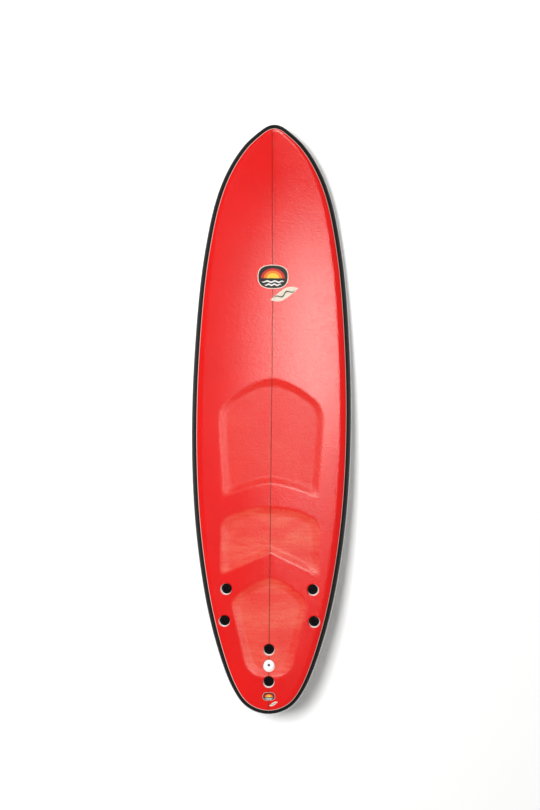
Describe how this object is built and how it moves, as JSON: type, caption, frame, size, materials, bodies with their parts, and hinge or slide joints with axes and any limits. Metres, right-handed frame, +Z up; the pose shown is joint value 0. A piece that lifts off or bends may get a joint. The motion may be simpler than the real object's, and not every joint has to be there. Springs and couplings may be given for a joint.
{
  "type": "foam-top surfboard",
  "caption": "Soft foam-top surfboard with a round outline, sunk deck zones, a contrasting rail band, through-bolted fins and a leash plug.",
  "frame": {"origin": "middle of the board's bounding box, on the surface that it lies on", "axes": "+Z up, +Y towards the nose, +X to the board's right seen from above; the board lies deck up, pitched 5 degrees nose down, on its belly and its two side fin tips"},
  "size_m": [0.5842, 2.1328, 0.2039],
  "materials": {
    "deck_foam": "embossed foam, satin",
    "rail_foam": "embossed foam, satin",
    "bottom_slick": "slick",
    "core_foam": "bead foam",
    "stringer_wood": "bare",
    "plug_plastic": "moulded",
    "leash_plastic": "moulded",
    "fin_plastic": "moulded, satin",
    "screw_steel": "blackened",
    "insert_brass": "turned"
  },
  "bodies": {
    "root": {"bottom_skin": "bottom_slick", "core_inner_left": "core_foam", "core_inner_right": "core_foam", "core_outer_left": "core_foam", "core_outer_right": "core_foam", "deck_plug_centre_front": "plug_plastic", "deck_plug_centre_rear": "plug_plastic", "deck_plug_left_front": "plug_plastic", "deck_plug_left_rear": "plug_plastic", "deck_plug_right_front": "plug_plastic", "deck_plug_right_rear": "plug_plastic", "deck_skin": "deck_foam", "fin_centre": "fin_plastic", "fin_insert_centre_front": "insert_brass", "fin_insert_centre_rear": "insert_brass", "fin_insert_left_front": "insert_brass", "fin_insert_left_rear": "insert_brass", "fin_insert_right_front": "insert_brass", "fin_insert_right_rear": "insert_brass", "fin_left": "fin_plastic", "fin_right": "fin_plastic", "fin_screw_centre_front": "screw_steel", "fin_screw_centre_rear": "screw_steel", "fin_screw_left_front": "screw_steel", "fin_screw_left_rear": "screw_steel", "fin_screw_right_front": "screw_steel", "fin_screw_right_rear": "screw_steel", "leash_plug_base": "leash_plastic", "leash_plug_top": "leash_plastic", "rail_band_left": "rail_foam", "rail_band_right": "rail_foam", "stringer_centre": "stringer_wood", "stringer_left": "stringer_wood", "stringer_right": "stringer_wood"}
  },
  "joints": []
}
